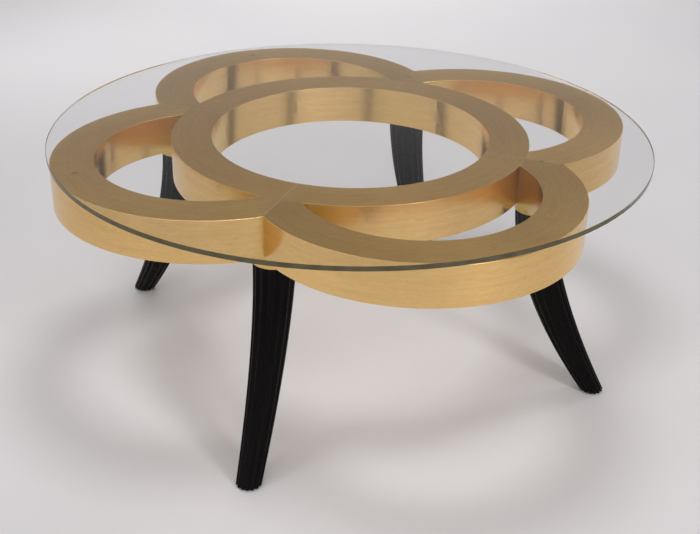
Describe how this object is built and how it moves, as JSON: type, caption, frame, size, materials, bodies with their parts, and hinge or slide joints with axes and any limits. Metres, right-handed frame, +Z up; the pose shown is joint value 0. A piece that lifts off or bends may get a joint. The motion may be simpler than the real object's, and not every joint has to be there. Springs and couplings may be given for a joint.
{
  "type": "coffee table",
  "caption": "Round glass-topped coffee table: a centre ring and four petal rings of gilded wood on fluted, outswept ebonised sabre legs.",
  "frame": {"origin": "on the floor, below the centre of the round top", "axes": "+Z up along the table's axis; +X through the right petal ring, +Y through the back petal ring; the legs stand on the diagonals"},
  "size_m": [1.0667, 1.0668, 0.442],
  "materials": {
    "clear_glass": "clear float glass, flat polished edge",
    "clear_silicone": "clear silicone bumper",
    "gilded_wood": "satin gold leaf over gesso on hardwood, with faint lap lines",
    "ebonised_wood": "black lacquer, satin gloss, fluted",
    "beech_dowel": "plain beech",
    "zinc_steel": "bright zinc plate",
    "nylon_glide": "translucent white nylon"
  },
  "bodies": {
    "frame": {"glass_bumpers": "clear_silicone", "centre_ring_bottom_course": "gilded_wood", "centre_ring_middle_course": "gilded_wood", "centre_ring_top_course": "gilded_wood", "petal_right_bottom_course": "gilded_wood", "petal_right_middle_course": "gilded_wood", "petal_right_top_course": "gilded_wood", "petal_back_bottom_course": "gilded_wood", "petal_back_middle_course": "gilded_wood", "petal_back_top_course": "gilded_wood", "petal_left_bottom_course": "gilded_wood", "petal_left_middle_course": "gilded_wood", "petal_left_top_course": "gilded_wood", "petal_front_bottom_course": "gilded_wood", "petal_front_middle_course": "gilded_wood", "petal_front_top_course": "gilded_wood", "mitre_dowels": "beech_dowel", "ring_dowels": "beech_dowel", "leg_back_right": "ebonised_wood", "leg_disc_back_right": "gilded_wood", "hanger_bolt_back_right": "zinc_steel", "tee_nut_back_right": "zinc_steel", "disc_screws_back_right": "zinc_steel", "glide_back_right": "nylon_glide", "leg_back_left": "ebonised_wood", "leg_disc_back_left": "gilded_wood", "hanger_bolt_back_left": "zinc_steel", "tee_nut_back_left": "zinc_steel", "disc_screws_back_left": "zinc_steel", "glide_back_left": "nylon_glide", "leg_front_left": "ebonised_wood", "leg_disc_front_left": "gilded_wood", "hanger_bolt_front_left": "zinc_steel", "tee_nut_front_left": "zinc_steel", "disc_screws_front_left": "zinc_steel", "glide_front_left": "nylon_glide", "leg_front_right": "ebonised_wood", "leg_disc_front_right": "gilded_wood", "hanger_bolt_front_right": "zinc_steel", "tee_nut_front_right": "zinc_steel", "disc_screws_front_right": "zinc_steel", "glide_front_right": "nylon_glide", "glide_nails": "zinc_steel"},
    "glass": {"glass_top": "clear_glass"}
  },
  "joints": [
    {"name": "glass_lift", "type": "slide", "parent": "frame", "child": "glass", "axis": [0, 0, 1], "range_m": [0, 0.2]}
  ]
}
